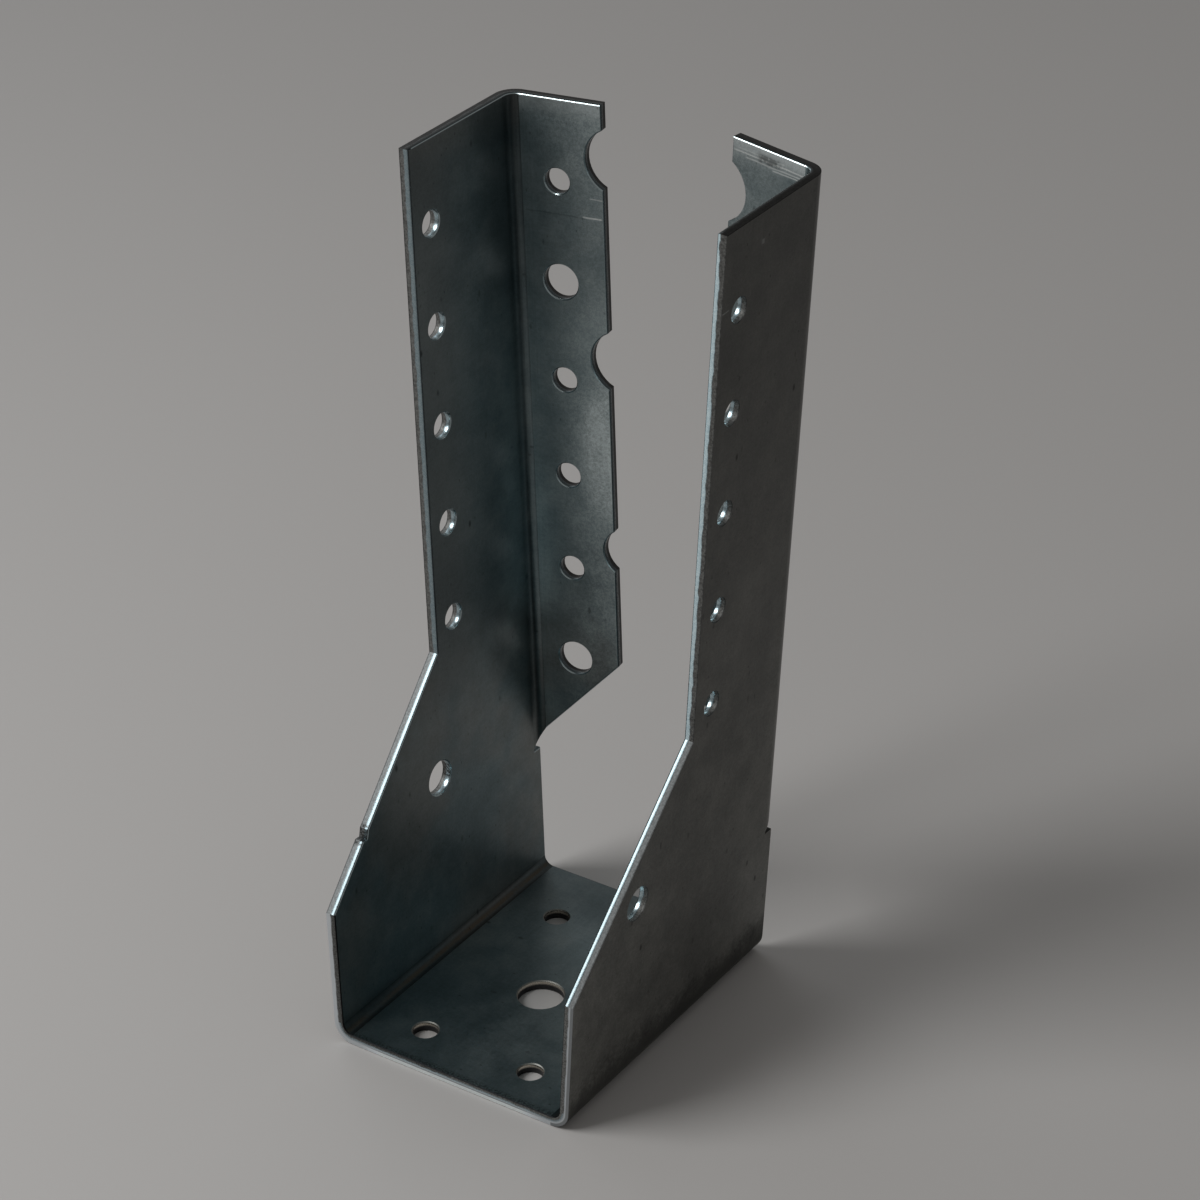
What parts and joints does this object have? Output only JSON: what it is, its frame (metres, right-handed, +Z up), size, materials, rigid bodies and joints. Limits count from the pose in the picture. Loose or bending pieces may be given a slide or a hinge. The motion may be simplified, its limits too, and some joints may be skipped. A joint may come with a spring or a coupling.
{
  "type": "joist hanger",
  "caption": "Face-fixed joist hanger folded from galvanised sheet: an open-topped channel with a seat, stepped cheeks and inward nailing flanges, perforated for nails and screws.",
  "frame": {"origin": "on the underside of the seat, on the axis of its wide middle hole", "axes": "+X across the seat to the right cheek, +Y to the wall side where the flanges are, +Z up along the cheeks"},
  "size_m": [0.0675, 0.0715, 0.1688],
  "materials": {
    "galvanised_steel": "galvanised, dull and slightly mottled, with brighter sheared edges"
  },
  "bodies": {
    "root": {"joist_hanger": "galvanised_steel"}
  },
  "joints": []
}
